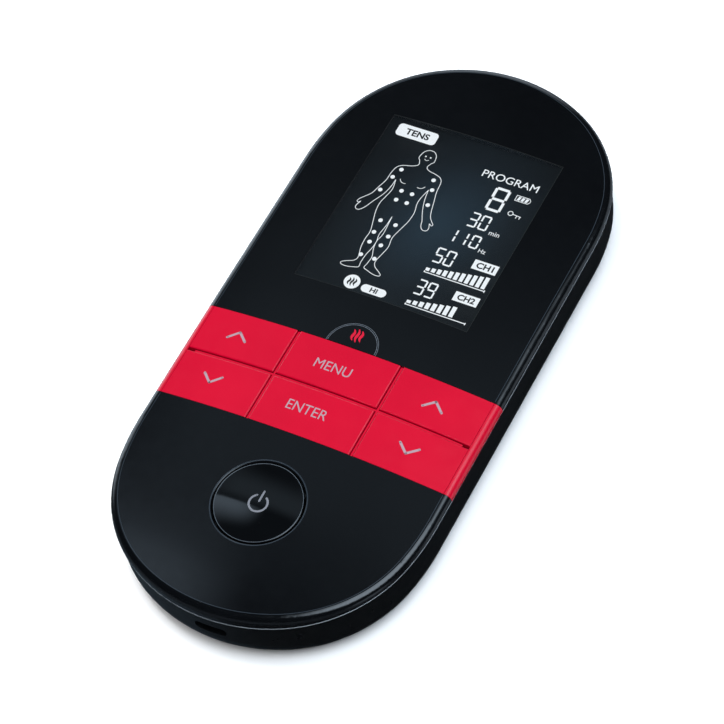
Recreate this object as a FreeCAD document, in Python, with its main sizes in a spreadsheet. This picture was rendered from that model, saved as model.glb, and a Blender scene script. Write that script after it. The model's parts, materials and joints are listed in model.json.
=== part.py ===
import FreeCAD, Part
import math
import os
import re
import Sketcher

# Hand-held nerve-stimulation (TENS) unit with a heat function, in millimetres.
# Frame: X across the width, +Y towards the display end, +Z out of the face.
# The origin is the centre of the underside.

Vector = FreeCAD.Vector

SIZES = {
    # case
    "case_width": 66.0,
    "case_length": 139.0,
    "case_height": 17.0,
    "top_first_radius": 46.8,
    "top_first_turn": 11.4,
    "top_second_radius": 29.1,
    "top_second_turn": 52.3,
    "low_first_radius": 50.3,
    "low_first_turn": 12.3,
    "low_second_radius": 30.0,
    "low_second_turn": 50.9,
    "split_height": 12.95,
    "split_gap": 0.1,
    "crown_across": 227.0,
    "crown_along": 2500.0,
    "rim_round": 1.5,
    "front_wall": 1.5,
    "face_wall": 1.4,
    "rib_bite": 0.7,
    "rear_inset": 0.35,
    "rear_wall": 2.05,
    "rear_floor": 1.6,
    "rear_round": 6.0,
    "rear_inner_round": 4.2,
    "split_edge_round": 0.2,
    "lip_inset": 1.6,
    "lip_wall": 0.8,
    "lip_rise": 0.45,
    # display
    "window_half": 19.55,
    "window_low": 6.19,
    "window_high": 50.98,
    "window_gap": 0.04,
    "glass_half": 20.8,
    "glass_low": 4.5,
    "glass_high": 52.8,
    "glass_bottom": 12.95,
    "glass_thick": 2.0,
    "glass_room": 0.4,
    "light_low": 7.0,
    "holder_wall": 1.2,
    "holder_height": 2.1,
    "strip_width": 1.5,
    "strip_margin": 2.0,
    # red keypad band
    "band_low": -28.43,
    "band_high": -6.11,
    "band_middle": -17.14,
    "groove_offset": 11.54,
    "groove_half": 0.32,
    "groove_round": 0.3,
    "groove_depth": 0.42,
    "rib_half": 0.2,
    "face_edge": 31.45,
    "foot_inner": 29.9,
    "key_gap": 0.07,
    "key_bottom": 13.7,
    "stem_bottom": 11.7,
    "stem_half": 2.0,
    "stem_room": 0.3,
    "plate_bottom": 12.4,
    "plate_top": 13.25,
    "tray_bottom": 11.7,
    "tray_half": 30.45,
    "tray_wall": 1.5,
    "tray_high": 1.6,
    # heat key
    "heat_centre": -5.86,
    "heat_radius": 5.4,
    "heat_gap": 0.05,
    "heat_stem_centre": -3.7,
    "heat_stem_half": 1.2,
    # power button
    "power_centre": -44.63,
    "power_radius": 8.92,
    "power_gap": 0.17,
    "power_hole_round": 0.5,
    "power_flange": 0.9,
    "power_flange_bottom": 13.4,
    "power_flange_thick": 0.7,
    "power_dome_radius": 66.0,
    "power_rise": 0.42,
    "power_edge_round": 0.16,
    "power_stem_radius": 2.0,
    # board
    "board_bottom": 9.9,
    "board_thick": 1.0,
    "board_inset": 3.0,
    "dome_radius": 3.1,
    "dome_top_radius": 1.8,
    "dome_height": 0.35,
    # parts soldered to the underside of the board
    "transformer_across": 12.0,
    "transformer_half": 4.5,
    "transformer_low": 31.0,
    "transformer_high": 39.0,
    "transformer_height": 6.0,
    "ferrite_wall": 1.0,
    "ferrite_cap": 1.2,
    "winding_room": 0.1,
    "winding_round": 1.5,
    "can_across": 22.0,
    "can_along": 25.0,
    "can_pitch": 7.0,
    "can_radius": 2.5,
    "can_height": 5.4,
    "buzzer_across": -20.0,
    "buzzer_along": 22.0,
    "buzzer_radius": 4.5,
    "buzzer_height": 3.2,
    "buzzer_mouth_radius": 1.0,
    "buzzer_mouth_depth": 0.8,
    "chip_across": 7.0,
    "chip_along": 17.0,
    "chip_row_pitch": 3.0,
    "chip_pitch": 2.2,
    "chip_length": 1.6,
    "chip_width": 0.8,
    "chip_height": 0.6,
    "processor_half": 5.0,
    "processor_low": 23.0,
    "processor_high": 33.0,
    "processor_height": 1.2,
    "inductor_left": 16.0,
    "inductor_right": 22.0,
    "inductor_low": 13.0,
    "inductor_high": 19.0,
    "inductor_height": 3.0,
    "plug_half": 3.0,
    "plug_low": 17.0,
    "plug_high": 21.0,
    "plug_height": 3.0,
    # screws and bosses
    "screw_across": 17.2,
    "screw_along": 56.5,
    "rear_boss_radius": 3.0,
    "front_boss_radius": 2.2,
    "screw_hole_radius": 1.3,
    "pilot_radius": 1.12,
    "pilot_depth": 2.4,
    "shank_radius": 1.1,
    "shank_length": 9.9,
    "head_radius": 2.0,
    "head_thick": 1.7,
    "head_seat": 3.0,
    "head_room": 0.2,
    # sockets
    "jack_across": 10.0,
    "jack_height": 6.9,
    "jack_half": 4.0,
    "jack_drop": 3.0,
    "jack_back": 53.0,
    "jack_front": 63.3,
    "jack_nose_radius": 2.9,
    "jack_nose_end": 66.8,
    "jack_hole_radius": 3.1,
    "jack_bore_radius": 1.8,
    "jack_bore_depth": 11.5,
    "jack_hole_reach": 6.0,
    "usb_across": 1.3,
    "usb_height": 8.43,
    "usb_slot_half": 3.4,
    "usb_slot_rise": 1.2,
    "usb_slot_round": 1.1,
    "usb_slot_reach": 4.0,
    "usb_shell_half": 3.7,
    "usb_shell_rise": 1.47,
    "usb_shell_wall": 0.3,
    "usb_shell_round": 1.2,
    "usb_front": -66.5,
    "usb_back": -61.0,
    "tongue_half": 1.8,
    "tongue_setback": 1.0,
    "tongue_thick": 0.6,
    # battery
    "cell_half": 17.0,
    "cell_low": -37.0,
    "cell_high": 13.0,
    "cell_bottom": 2.2,
    "cell_thick": 6.0,
    "cell_round": 1.5,
    "pad_margin": 2.0,
    "cradle_room": 0.2,
    "cradle_wall": 1.2,
    "cradle_past_lead": 4.6,
    "lead_radius": 0.5,
    "lead_bend": 1.5,
    "lead_run": 0.5,
    "lead_low": 5.2,
    "lead_high": 8.2,
    "lead_reach": 4.0,
    "lead_across": 1.2,
    # belt-clip slot in the back
    "clip_half": 9.0,
    "clip_under_half": 11.0,
    "clip_low": 17.0,
    "clip_entry": 25.0,
    "clip_high": 41.0,
    "clip_lip": 1.0,
    "clip_depth": 2.2,
    "clip_boss_margin": 2.0,
    "clip_boss_height": 3.4,
    # how far cutting and trimmed shapes run past the surface they meet
    "overshoot": 1.0,
}

CROWN_SWING = 8.0
DOME_SWING = 80.0
CROWN_REACH = 40.0
CHIP_ROWS, CHIP_COLUMNS = 2, 6
TOUCHING = 0.01
NEARBY = 0.1

doc = FreeCAD.newDocument("tens_unit")
sheet = doc.addObject("Spreadsheet::Sheet", "Sizes")
for row, (alias, number) in enumerate(SIZES.items(), start=1):
    sheet.set(f"A{row}", alias)
    sheet.set(f"B{row}", str(number))
    sheet.setAlias(f"B{row}", alias)
doc.recompute()


def size(alias):
    """A driving dimension, read back from the sheet."""
    return float(sheet.get(alias))


def cells(expression):
    """Turn the plain words of an expression into references to the sheet."""
    return re.sub(r"[a-z][a-z_]+", lambda word: "Sizes." + word.group(), expression)


def bind(thing, attribute, expression):
    thing.setExpression(attribute, cells(expression))


# ---------------------------------------------------------------- bodies and sketches

def new_body(label):
    body = doc.addObject("PartDesign::Body", label)
    body.Label = label
    body.AllowCompound = True
    return body


def new_sketch(body, role="XY_Plane", level="0"):
    """A sketch on one of the body's own origin planes, raised by an expression."""
    plane = next(item for item in body.Origin.OriginFeatures if item.Role == role)
    sketch = body.newObject("Sketcher::SketchObject", body.Name + "_sketch")
    sketch.AttachmentSupport = [(plane, "")]
    sketch.MapMode = "FlatFace"
    bind(sketch, "AttachmentOffset.Base.z", level)
    return sketch


def closed_loop(sketch, pieces):
    for piece in pieces:
        sketch.addGeometry(piece, False)


def rectangle(sketch, left, right, low, high):
    """A rectangle whose four sides are bound to expressions."""
    first = sketch.GeometryCount
    corners = [Vector(-1, -1, 0), Vector(1, -1, 0), Vector(1, 1, 0), Vector(-1, 1, 0)]
    for index in range(4):
        sketch.addGeometry(Part.LineSegment(corners[index], corners[(index + 1) % 4]), False)
    for index in range(4):
        following = first + (index + 1) % 4
        sketch.addConstraint(Sketcher.Constraint("Coincident", first + index, 2, following, 1))
    for index, direction in enumerate(("Horizontal", "Vertical", "Horizontal", "Vertical")):
        sketch.addConstraint(Sketcher.Constraint(direction, first + index))
    sides = (("DistanceX", 0, 1, -1.0, left), ("DistanceX", 1, 2, 1.0, right),
             ("DistanceY", 0, 1, -1.0, low), ("DistanceY", 1, 2, 1.0, high))
    for kind, line, end, start, expression in sides:
        place_constraint(sketch, kind, first + line, end, start, expression)


def place_constraint(sketch, kind, geometry, point, start, expression):
    constraint = Sketcher.Constraint(kind, -1, 1, geometry, point, start)
    index = sketch.addConstraint(constraint)
    bind(sketch, f"Constraints[{index}]", expression)


def circle(sketch, across, along, radius):
    """A circle whose centre and radius are bound to expressions."""
    shape = sketch.addGeometry(Part.Circle(Vector(1, 1, 0), Vector(0, 0, 1), 1), False)
    place_constraint(sketch, "DistanceX", shape, 3, 1.0, across)
    place_constraint(sketch, "DistanceY", shape, 3, 1.0, along)
    index = sketch.addConstraint(Sketcher.Constraint("Radius", shape, 1.0))
    bind(sketch, f"Constraints[{index}]", radius)


def pad(body, sketch, length, downwards=False):
    feature = body.newObject("PartDesign::Pad", body.Name + "_pad")
    feature.Profile = sketch
    feature.Reversed = downwards
    bind(feature, "Length", length)
    body.Tip = feature
    doc.recompute()
    return feature


def pocket(body, sketch, length, along_normal=False):
    """Cut a sketch out of the body, against the sketch's normal unless told otherwise."""
    before = body.Shape.Volume
    feature = body.newObject("PartDesign::Pocket", body.Name + "_pocket")
    feature.Profile = sketch
    feature.Reversed = along_normal
    bind(feature, "Length", length)
    body.Tip = feature
    doc.recompute()
    if body.Shape.Volume >= before:
        raise RuntimeError(f"{feature.Name} cut nothing from {body.Label}")
    return feature


def fillet(body, chosen, radius):
    """Round the edges of the body's tip that a test picks by their middle point and box."""
    base = body.Tip
    names = [f"Edge{number}" for number, edge in enumerate(base.Shape.Edges, start=1) if chosen(edge)]
    if not names:
        raise RuntimeError(f"no edge to round on {body.Label}")
    feature = body.newObject("PartDesign::Fillet", body.Name + "_fillet")
    feature.Base = (base, names)
    bind(feature, "Radius", radius)
    body.Tip = feature
    doc.recompute()
    return feature


def slab(label, left, right, low, high, bottom, thick):
    """A plain block, all six sides bound to the sheet."""
    body = new_body(label)
    sketch = new_sketch(body, level=bottom)
    rectangle(sketch, left, right, low, high)
    pad(body, sketch, thick)
    return body


def middle(edge):
    return edge.valueAt((edge.FirstParameter + edge.LastParameter) / 2)


def lowest(edge):
    return min(vertex.Z for vertex in edge.Vertexes)


def highest(edge):
    return max(vertex.Z for vertex in edge.Vertexes)


def runs_lengthways(edge):
    ends = [vertex.Y for vertex in edge.Vertexes]
    return max(ends) - min(ends) > size("overshoot")


# ---------------------------------------------------------------- the case's shape

def turned(point, heading, radius, turn):
    """Where an arc to the left leads: its middle point, its end and the new heading."""
    centre = point + Vector(-math.sin(heading), math.cos(heading), 0) * radius
    spoke = point - centre
    stops = []
    for part in (turn / 2, turn):
        cosine, sine = math.cos(part), math.sin(part)
        swung = Vector(spoke.x * cosine - spoke.y * sine, spoke.x * sine + spoke.y * cosine, 0)
        stops.append(centre + swung)
    return stops[0], stops[1], heading + turn


def end_arcs(which, inset, sense):
    """One rounded end: five tangent arcs from one straight side to the other.

    The points are counted from the straight side's end; the crest arc's centre lies
    on the middle line. A sense of -1 turns the end half round."""
    point, heading = Vector(size("case_width") / 2 - inset, 0, 0), math.pi / 2
    chain = []
    for name in ("first", "second"):
        radius = size(f"{which}_{name}_radius") - inset
        turn = math.radians(size(f"{which}_{name}_turn"))
        halfway, finish, following = turned(point, heading, radius, turn)
        chain.append((point, halfway, finish))
        point, heading = finish, following
    crest_radius = point.x / math.sin(heading)
    crest = Vector(0, point.y + crest_radius * (1 + math.cos(heading)), 0)
    mirrored = [tuple(Vector(-spot.x, spot.y, 0) for spot in reversed(arc)) for arc in reversed(chain)]
    chain.append((point, crest, mirrored[0][0]))
    shift = Vector(0, size("case_length") / 2 - inset - crest.y, 0)
    return [tuple((spot + shift) * sense for spot in arc) for arc in chain + mirrored]


def outline(sketch, inset):
    """The case's outline seen from above, moved inwards by an inset in millimetres."""
    top = end_arcs("top", inset, 1)
    low = end_arcs("low", inset, -1)
    pieces = [Part.Arc(*arc) for arc in top + low]
    pieces.append(Part.LineSegment(top[-1][2], low[0][0]))
    pieces.append(Part.LineSegment(low[-1][2], top[0][0]))
    closed_loop(sketch, pieces)


def cut_above_crown(body, offset, radii=None, apex_y=0.0):
    """Cut away what lies above the crowned face, moved up or down by an offset.

    The face is an arc across the width, swung about a distant axis below, so that it
    also falls slightly towards both ends."""
    across, along = radii or (size("crown_across"), size("crown_along"))
    apex = size("case_height") + offset
    half = min(CROWN_REACH, across / 2)
    edge_height = apex - across + math.sqrt(across ** 2 - half ** 2)
    roof = size("case_height") + CROWN_REACH
    sketch = new_sketch(body, "XZ_Plane", str(-apex_y))
    arc = Part.Arc(Vector(-half, edge_height, 0), Vector(0, apex, 0), Vector(half, edge_height, 0))
    corners = [Vector(half, edge_height, 0), Vector(half, roof, 0),
               Vector(-half, roof, 0), Vector(-half, edge_height, 0)]
    sides = [Part.LineSegment(corners[index], corners[index + 1]) for index in range(3)]
    closed_loop(sketch, [arc] + sides)
    axis_height = apex - along
    axis = Part.LineSegment(Vector(-half, axis_height, 0), Vector(half, axis_height, 0))
    sketch.addGeometry(axis, True)
    before = body.Shape.Volume
    feature = body.newObject("PartDesign::Groove", body.Name + "_crown")
    feature.Profile = sketch
    feature.ReferenceAxis = (sketch, ["Axis0"])
    feature.Angle = DOME_SWING if radii else CROWN_SWING
    feature.Midplane = True
    body.Tip = feature
    doc.recompute()
    if body.Shape.Volume >= before:
        raise RuntimeError(f"the crown cut nothing from {body.Label}")
    return feature


def crown_height(across, along):
    """Height of the crowned face above the underside at one place."""
    drop = across ** 2 / size("crown_across") + along ** 2 / size("crown_along")
    return size("case_height") - drop / 2


# ---------------------------------------------------------------- positions used by several pieces

KEY_CENTRES = {
    "key_left_up": (-1, 1),
    "key_left_down": (-1, -1),
    "key_menu": (0, 1),
    "key_enter": (0, -1),
    "key_right_up": (1, 1),
    "key_right_down": (1, -1),
}
SIDE_MIDDLE = "(face_edge + groove_offset) / 2"
UPPER_MIDDLE = "(band_high + band_middle) / 2"
LOWER_MIDDLE = "(band_low + band_middle) / 2"
SCREW_PLACES = [(across, along) for across in (-1, 1) for along in (-1, 1)]


def key_centre(column, row):
    across = f"{column} * {SIDE_MIDDLE}"
    along = UPPER_MIDDLE if row > 0 else LOWER_MIDDLE
    return across, along


def stem_openings(sketch, room):
    """Openings for the six key stems and the heat key's stem."""
    for column, row in KEY_CENTRES.values():
        across, along = key_centre(column, row)
        reach = f"(stem_half + {room})"
        rectangle(sketch, f"{across} - {reach}", f"{across} + {reach}",
                  f"{along} - {reach}", f"{along} + {reach}")


def heat_opening(sketch, room):
    reach = f"(heat_stem_half + {room})"
    rectangle(sketch, f"-1 * {reach}", reach,
              f"heat_stem_centre - {reach}", f"heat_stem_centre + {reach}")


def screw_circles(sketch, radius):
    for across, along in SCREW_PLACES:
        circle(sketch, f"{across} * screw_across", f"{along} * screw_along", radius)


def heat_outline(sketch, radius, lower_edge):
    """Most of a half disc: an arc closed by a straight lower edge."""
    rise = lower_edge - size("heat_centre")
    reach = math.sqrt(radius ** 2 - rise ** 2)
    right_end = Vector(reach, lower_edge, 0)
    left_end = Vector(-reach, lower_edge, 0)
    crest = Vector(0, size("heat_centre") + radius, 0)
    closed_loop(sketch, [Part.Arc(right_end, crest, left_end), Part.LineSegment(left_end, right_end)])


# ---------------------------------------------------------------- front cover

def front_shell():
    """The crowned upper moulding before it is hollowed."""
    body = new_body("front_shell")
    sketch = new_sketch(body, level="split_height")
    outline(sketch, 0)
    pad(body, sketch, "case_height - split_height + overshoot")
    cut_above_crown(body, 0)
    above = size("split_height") + size("overshoot")
    fillet(body, lambda edge: lowest(edge) > above, "rim_round")
    below = size("split_height") + TOUCHING
    fillet(body, lambda edge: highest(edge) < below, "split_edge_round")
    window = new_sketch(body, level="case_height + overshoot")
    rectangle(window, "-1 * window_half", "window_half", "window_low", "window_high")
    pocket(body, window, "case_height")
    band = new_sketch(body, level="case_height + overshoot")
    rectangle(band, "-1 * case_width", "case_width", "band_low", "band_high")
    pocket(body, band, "case_height")
    heat = new_sketch(body, level="case_height + overshoot")
    heat_outline(heat, size("heat_radius"), size("band_high") - size("overshoot"))
    pocket(body, heat, "case_height")
    power = new_sketch(body, level="case_height + overshoot")
    circle(power, "0", "power_centre", "power_radius + power_gap")
    pocket(body, power, "case_height")
    hole_radius = size("power_radius") + size("power_gap")

    def is_hole_rim(edge):
        point = middle(edge)
        distance = math.hypot(point.x, point.y - size("power_centre"))
        return abs(distance - hole_radius) < NEARBY and lowest(edge) > above

    fillet(body, is_hole_rim, "power_hole_round")
    return body


def front_cavity():
    """The hollow under the face, with the rebate that takes the display glass."""
    body = new_body("front_cavity")
    sketch = new_sketch(body, level="split_height - overshoot")
    outline(sketch, size("front_wall"))
    pad(body, sketch, "case_height - split_height + 2 * overshoot")
    cut_above_crown(body, -size("face_wall"))
    rebate = new_sketch(body, level="split_height - overshoot")
    rectangle(rebate, "-1 * (glass_half + glass_room)", "glass_half + glass_room",
              "glass_low - glass_room", "glass_high + glass_room")
    pad(body, rebate, "glass_bottom + glass_thick + window_gap - split_height + overshoot")
    return body


def key_tray():
    """The deck under the keys, which ties the two halves of the face together."""
    body = new_body("key_tray")
    sketch = new_sketch(body, level="tray_bottom")
    rectangle(sketch, "-1 * tray_half", "tray_half", "band_low - tray_wall", "tray_high")
    pad(body, sketch, "case_height - tray_bottom")
    cut_above_crown(body, -size("rib_bite"))
    hollow = new_sketch(body, level="case_height")
    rectangle(hollow, "-1 * case_width", "case_width", "band_low", "tray_high - tray_wall")
    pocket(body, hollow, "case_height - plate_bottom")
    stems = new_sketch(body, level="case_height")
    stem_openings(stems, "stem_room")
    heat_opening(stems, "stem_room")
    pocket(body, stems, "case_height")
    return body


def front_bosses():
    """Four bosses that take the case screws and press on the board."""
    body = new_body("front_bosses")
    sketch = new_sketch(body, level="board_bottom + board_thick")
    screw_circles(sketch, "front_boss_radius")
    pad(body, sketch, "case_height - board_bottom - board_thick")
    cut_above_crown(body, -size("rib_bite"))
    pilot = new_sketch(body, level="board_bottom + board_thick")
    screw_circles(pilot, "pilot_radius")
    pocket(body, pilot, "pilot_depth", along_normal=True)
    return body


def front_cover():
    hollowed = doc.addObject("Part::Cut", "front_hollowed")
    hollowed.Base = front_shell()
    hollowed.Tool = front_cavity()
    doc.recompute()
    cover = doc.addObject("Part::MultiFuse", "front_cover")
    cover.Label = "front_cover"
    cover.Shapes = [hollowed, key_tray(), front_bosses()]
    cover.Refine = True
    doc.recompute()
    return cover


def display_window():
    """Clear pane, flush with the crowned face and of even thickness."""
    body = new_body("display_window")
    sketch = new_sketch(body, level="glass_bottom + glass_thick")
    rectangle(sketch, "window_gap - window_half", "window_half - window_gap",
              "window_low + window_gap", "window_high - window_gap")
    pad(body, sketch, "case_height - glass_bottom - glass_thick + overshoot")
    cut_above_crown(body, 0)
    return body


# ---------------------------------------------------------------- keypad

def keypad_frame():
    """Red frame: a plate on the deck, ribs between the keys and the two rim pieces."""
    body = new_body("keypad_frame")
    plate = new_sketch(body, level="plate_bottom")
    rectangle(plate, "-1 * tray_half", "tray_half", "band_low + key_gap", "band_high - key_gap")
    pad(body, plate, "plate_top - plate_bottom")
    ribs = new_sketch(body, level="plate_top")
    rectangle(ribs, "-1 * foot_inner", "foot_inner", "band_middle - rib_half", "band_middle + rib_half")
    pad(body, ribs, "case_height - plate_top")
    for side in (-1, 1):
        rib = new_sketch(body, level="plate_top")
        rectangle(rib, f"{side} * groove_offset - rib_half", f"{side} * groove_offset + rib_half",
                  "band_low + key_gap", "band_high - key_gap")
        pad(body, rib, "case_height - plate_top")
    cut_above_crown(body, -size("groove_depth"))
    for side in (-1, 1):
        inner, outer = f"{side} * foot_inner", f"{side} * case_width / 2"
        foot = new_sketch(body, level="split_height")
        rectangle(foot, *sorted_pair(side, inner, outer), "band_low + key_gap", "band_high - key_gap")
        pad(body, foot, "plate_top - split_height")
    for side in (-1, 1):
        inner, outer = f"{side} * face_edge", f"{side} * case_width / 2"
        lug = new_sketch(body, level="split_height")
        rectangle(lug, *sorted_pair(side, inner, outer), "band_low + key_gap", "band_high - key_gap")
        pad(body, lug, "case_height - split_height")
    for side in (-1, 1):
        inner, outer = f"{side} * foot_inner", f"{side} * (face_edge + groove_half)"
        tie = new_sketch(body, level="plate_top - split_gap")
        rectangle(tie, *sorted_pair(side, inner, outer), "band_middle - rib_half", "band_middle + rib_half")
        pad(body, tie, "key_bottom - plate_top")
    cut_above_crown(body, 0)
    outer_side = size("case_width") / 2 - TOUCHING
    above = size("split_height") + size("overshoot")
    fillet(body, lambda edge: abs(middle(edge).x) > outer_side and lowest(edge) > above, "rim_round")
    openings = new_sketch(body, level="key_bottom")
    stem_openings(openings, "stem_room")
    pocket(body, openings, "key_bottom - plate_bottom + overshoot")
    return body


def sorted_pair(side, inner, outer):
    """The lower x first, so that a mirrored rectangle keeps its sense."""
    return (inner, outer) if side > 0 else (outer, inner)


def key_sides(column, row):
    """Left, right, low and high edges of one key, as expressions."""
    if column == 0:
        left, right = "groove_half - groove_offset", "groove_offset - groove_half"
    else:
        pair = (f"{column} * (groove_offset + groove_half)", f"{column} * (face_edge - key_gap)")
        left, right = sorted_pair(column, *pair)
    if row > 0:
        low, high = "band_middle + groove_half", "band_high - key_gap"
    else:
        low, high = "band_low + key_gap", "band_middle - groove_half"
    return left, right, low, high


def key(label, column, row):
    """One key: a block under the crowned face, rounded towards the grooves, and its stem."""
    body = new_body(label)
    sketch = new_sketch(body, level="key_bottom")
    rectangle(sketch, *key_sides(column, row))
    pad(body, sketch, "case_height - key_bottom + overshoot")
    cut_above_crown(body, 0)
    top = size("key_bottom") + size("groove_round")

    def faces_groove(edge):
        point = middle(edge)
        reach = size("groove_half") + NEARBY / 2
        beside_upright = abs(abs(point.x) - size("groove_offset")) < reach
        beside_level = abs(point.y - size("band_middle")) < reach
        return lowest(edge) > top and (beside_upright or beside_level)

    fillet(body, faces_groove, "groove_round")
    across, along = key_centre(column, row)
    stem = new_sketch(body, level="key_bottom")
    rectangle(stem, f"{across} - stem_half", f"{across} + stem_half",
              f"{along} - stem_half", f"{along} + stem_half")
    pad(body, stem, "key_bottom - stem_bottom", downwards=True)
    return body


def heat_key():
    body = new_body("heat_key")
    sketch = new_sketch(body, level="key_bottom")
    heat_outline(sketch, size("heat_radius") - size("heat_gap"), size("band_high") + size("heat_gap"))
    pad(body, sketch, "case_height - key_bottom + overshoot")
    cut_above_crown(body, 0)
    stem = new_sketch(body, level="key_bottom")
    rectangle(stem, "-1 * heat_stem_half", "heat_stem_half",
              "heat_stem_centre - heat_stem_half", "heat_stem_centre + heat_stem_half")
    pad(body, stem, "key_bottom - stem_bottom", downwards=True)
    return body


def power_button():
    """Domed round button with a retaining flange and a stem."""
    body = new_body("power_button")
    flange = new_sketch(body, level="power_flange_bottom")
    circle(flange, "0", "power_centre", "power_radius + power_flange")
    pad(body, flange, "power_flange_thick")
    cap = new_sketch(body, level="power_flange_bottom")
    circle(cap, "0", "power_centre", "power_radius")
    pad(body, cap, "case_height - power_flange_bottom + overshoot")
    dome = size("power_dome_radius")
    apex_y = size("power_centre") * (1 - dome / size("crown_along"))
    offset = crown_height(0, size("power_centre")) - size("case_height") + size("power_rise")
    cut_above_crown(body, offset, (dome, dome), apex_y)
    above = size("power_flange_bottom") + size("power_flange_thick") + size("overshoot")
    fillet(body, lambda edge: lowest(edge) > above, "power_edge_round")
    stem = new_sketch(body, level="power_flange_bottom")
    circle(stem, "0", "power_centre", "power_stem_radius")
    pad(body, stem, "power_flange_bottom - stem_bottom", downwards=True)
    return body


def switch_domes():
    """Snap domes on the board, one under each stem."""
    places = [key_place(*centre) for centre in KEY_CENTRES.values()]
    places.append((0, size("heat_stem_centre")))
    places.append((0, size("power_centre")))
    domes = []
    for number, (across, along) in enumerate(places, start=1):
        dome = doc.addObject("Part::Cone", f"snap_dome_{number}")
        bind(dome, "Radius1", "dome_radius")
        bind(dome, "Radius2", "dome_top_radius")
        bind(dome, "Height", "dome_height")
        dome.Placement.Base = Vector(across, along, 0)
        bind(dome, "Placement.Base.z", "board_bottom + board_thick")
        domes.append(dome)
    return group("switch_domes", domes)


def key_place(column, row):
    across = column * (size("face_edge") + size("groove_offset")) / 2
    edge = size("band_high") if row > 0 else size("band_low")
    return across, (edge + size("band_middle")) / 2


def group(label, members):
    """Identical pieces kept as separate solids in one node."""
    together = doc.addObject("Part::Compound", label)
    together.Label = label
    together.Links = members
    doc.recompute()
    return together


# ---------------------------------------------------------------- display module

def lcd_glass():
    return slab("lcd_glass", "-1 * glass_half", "glass_half", "glass_low", "glass_high",
                "glass_bottom", "glass_thick")


def lcd_backlight():
    return slab("lcd_backlight", "window_gap - glass_half", "glass_half - window_gap",
                "light_low", "glass_high - window_gap",
                "board_bottom + board_thick", "glass_bottom - board_bottom - board_thick - window_gap")


def lcd_holder():
    """Frame on the board that keeps the glass, the light guide and the strips in place."""
    body = new_body("lcd_holder")
    sketch = new_sketch(body, level="board_bottom + board_thick")
    rectangle(sketch, "-1 * (glass_half + holder_wall)", "glass_half + holder_wall",
              "glass_low - holder_wall", "glass_high + holder_wall")
    pad(body, sketch, "holder_height")
    inside = new_sketch(body, level="case_height")
    rectangle(inside, "-1 * (glass_half + window_gap)", "glass_half + window_gap",
              "glass_low - window_gap", "glass_high + window_gap")
    pocket(body, inside, "case_height")
    return body


def lcd_connector_strip():
    """Elastomer strip that carries the segment lines from the board to the glass."""
    return slab("lcd_connector_strip", "strip_margin - glass_half", "glass_half - strip_margin",
                "glass_low + window_gap", "glass_low + strip_width",
                "board_bottom + board_thick", "glass_bottom - board_bottom - board_thick")


# ---------------------------------------------------------------- board and what it carries

def main_board():
    body = new_body("main_board")
    sketch = new_sketch(body, level="board_bottom")
    outline(sketch, size("board_inset"))
    pad(body, sketch, "board_thick")
    holes = new_sketch(body, level="board_bottom + board_thick")
    screw_circles(holes, "screw_hole_radius")
    pocket(body, holes, "board_thick + overshoot")
    return body


def under_board(label, left, right, low, high, height):
    """A part soldered to the underside of the board."""
    return slab(label, left, right, low, high, f"board_bottom - ({height})", height)


def transformer(number, side):
    """Pulse transformer: a ferrite core round a winding on a bobbin."""
    centre = f"{side} * transformer_across"
    core = under_board(f"transformer_core_{number}", f"{centre} - transformer_half",
                       f"{centre} + transformer_half", "transformer_low", "transformer_high",
                       "transformer_height")
    hollow = new_sketch(core, level="board_bottom")
    rectangle(hollow, f"{centre} - transformer_half + ferrite_wall",
              f"{centre} + transformer_half - ferrite_wall",
              "transformer_low + ferrite_wall", "transformer_high - ferrite_wall")
    pocket(core, hollow, "transformer_height - ferrite_cap")
    margin = "ferrite_wall + winding_room"
    winding = under_board(f"transformer_winding_{number}", f"{centre} - transformer_half + {margin}",
                          f"{centre} + transformer_half - ({margin})", f"transformer_low + {margin}",
                          f"transformer_high - ({margin})",
                          "transformer_height - ferrite_cap - winding_room")
    fillet(winding, lambda edge: lowest(edge) < highest(edge) - size("overshoot"), "winding_round")
    return core, winding


def output_capacitors():
    cans = []
    for number in range(2):
        can = doc.addObject("Part::Cylinder", f"capacitor_can_{number}")
        bind(can, "Radius", "can_radius")
        bind(can, "Height", "can_height")
        bind(can, "Placement.Base.x", "can_across")
        bind(can, "Placement.Base.y", f"can_along + {number} * can_pitch")
        bind(can, "Placement.Base.z", "board_bottom - can_height")
        cans.append(can)
    return group("output_capacitors", cans)


def buzzer():
    body = new_body("buzzer")
    sketch = new_sketch(body, level="board_bottom - buzzer_height")
    circle(sketch, "buzzer_across", "buzzer_along", "buzzer_radius")
    pad(body, sketch, "buzzer_height")
    mouth = new_sketch(body, level="board_bottom - buzzer_height")
    circle(mouth, "buzzer_across", "buzzer_along", "buzzer_mouth_radius")
    pocket(body, mouth, "buzzer_mouth_depth", along_normal=True)
    return body


def chip_parts():
    """Small resistors and capacitors in two rows beside the processor."""
    chips = []
    for row in range(CHIP_ROWS):
        for column in range(CHIP_COLUMNS):
            chip = doc.addObject("Part::Box", f"chip_{row}_{column}")
            bind(chip, "Length", "chip_length")
            bind(chip, "Width", "chip_width")
            bind(chip, "Height", "chip_height")
            bind(chip, "Placement.Base.x", f"chip_across + {row} * chip_row_pitch")
            bind(chip, "Placement.Base.y", f"chip_along + {column} * chip_pitch")
            bind(chip, "Placement.Base.z", "board_bottom - chip_height")
            chips.append(chip)
    return group("chip_parts", chips)


def microcontroller():
    return under_board("microcontroller", "-1 * processor_half", "processor_half",
                       "processor_low", "processor_high", "processor_height")


def boost_inductor():
    return under_board("boost_inductor", "inductor_left", "inductor_right",
                       "inductor_low", "inductor_high", "inductor_height")


# ---------------------------------------------------------------- sockets

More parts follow.
